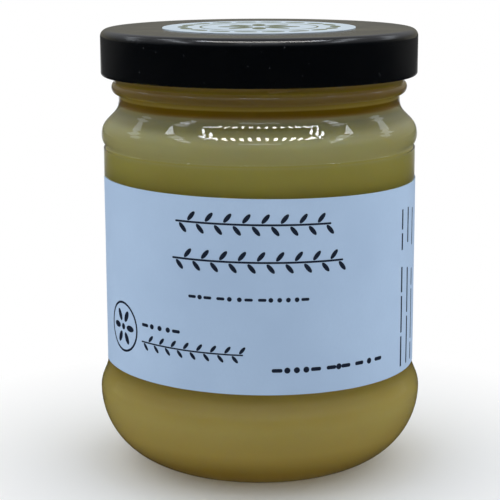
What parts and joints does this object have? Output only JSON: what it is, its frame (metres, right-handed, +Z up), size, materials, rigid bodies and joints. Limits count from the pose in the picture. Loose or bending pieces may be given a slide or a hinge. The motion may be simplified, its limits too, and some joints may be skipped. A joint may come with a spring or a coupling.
{
  "type": "honey jar",
  "caption": "Round glass jar of creamed honey with a twist-off metal lid, a wrap-round paper label and a round lid sticker.",
  "frame": {"origin": "middle of the foot, on the surface that the jar stands on", "axes": "+Z up along the jar's axis; the label's printed front faces -Y"},
  "size_m": [0.0675, 0.0674, 0.0908],
  "materials": {
    "jar_glass": "clear, smooth",
    "honey": null,
    "lid_enamel": "gloss black lacquer on tinplate",
    "label_paper": "matt cool white paper with dark navy print",
    "sticker_paper": "semi-matt cool white paper with a plain printed motif"
  },
  "bodies": {
    "root": {"jar_glass": "jar_glass", "honey": "honey", "lid": "lid_enamel", "label": "label_paper", "lid_sticker": "sticker_paper"}
  },
  "joints": []
}
